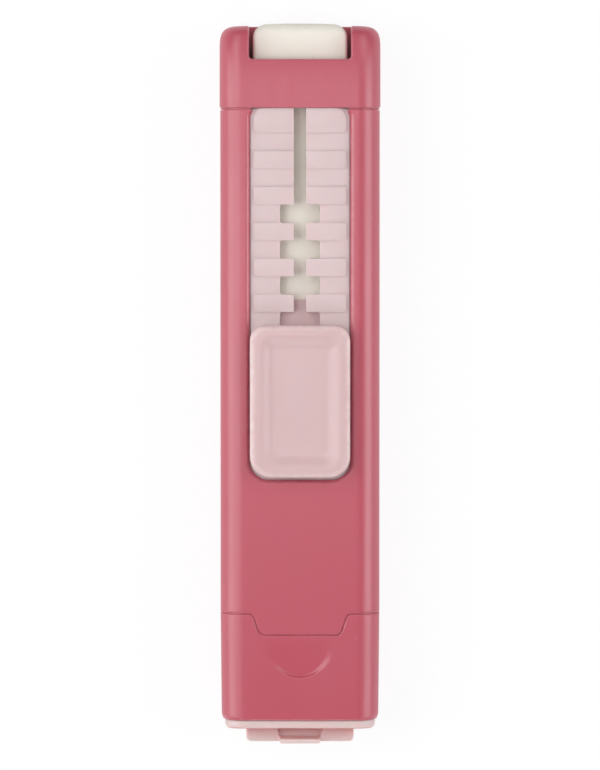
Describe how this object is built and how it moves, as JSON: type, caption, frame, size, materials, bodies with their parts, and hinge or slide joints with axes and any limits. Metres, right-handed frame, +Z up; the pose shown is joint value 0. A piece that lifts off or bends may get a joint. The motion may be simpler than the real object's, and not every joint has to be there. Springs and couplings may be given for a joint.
{
  "type": "pencil eraser stick",
  "caption": "Flat hand-held eraser holder with a self-locking slide button, a notched track, a pull-off end cap and a pale end plug.",
  "frame": {"origin": "middle of the length and width, on the flat back that the stick lies on", "axes": "+X across the stick, +Y along it toward the eraser's tip, +Z up out of the front face with the button"},
  "size_m": [0.0262, 0.1176, 0.0193],
  "materials": {
    "rose_plastic": "satin",
    "blush_plastic": "satin",
    "eraser_vinyl": "matte"
  },
  "bodies": {
    "holder": {"body_sleeve": "rose_plastic", "nose_collar": "rose_plastic", "ribbed_track": "blush_plastic", "channel_tray": "blush_plastic", "cap_spigot": "blush_plastic"},
    "carriage": {"pusher_carriage": "blush_plastic", "spring_arm": "blush_plastic", "eraser": "eraser_vinyl"},
    "button": {"slide_button": "blush_plastic", "lock_stem": "blush_plastic"},
    "cap": {"end_cap": "rose_plastic", "end_plug": "blush_plastic"}
  },
  "joints": [
    {"name": "slider_travel", "type": "slide", "parent": "holder", "child": "carriage", "axis": [0, 1, 0], "range_m": [0, 0.03498]},
    {"name": "button_press", "type": "slide", "parent": "carriage", "child": "button", "axis": [0, 0, -1], "range_m": [0, 0.0009], "stiffness_N_per_m": 1300, "springref_m": -0.0003, "deforming": ["spring_arm"]},
    {"name": "cap_pull_off", "type": "slide", "parent": "holder", "child": "cap", "axis": [0, -1, 0], "range_m": [0, 0.03]}
  ]
}
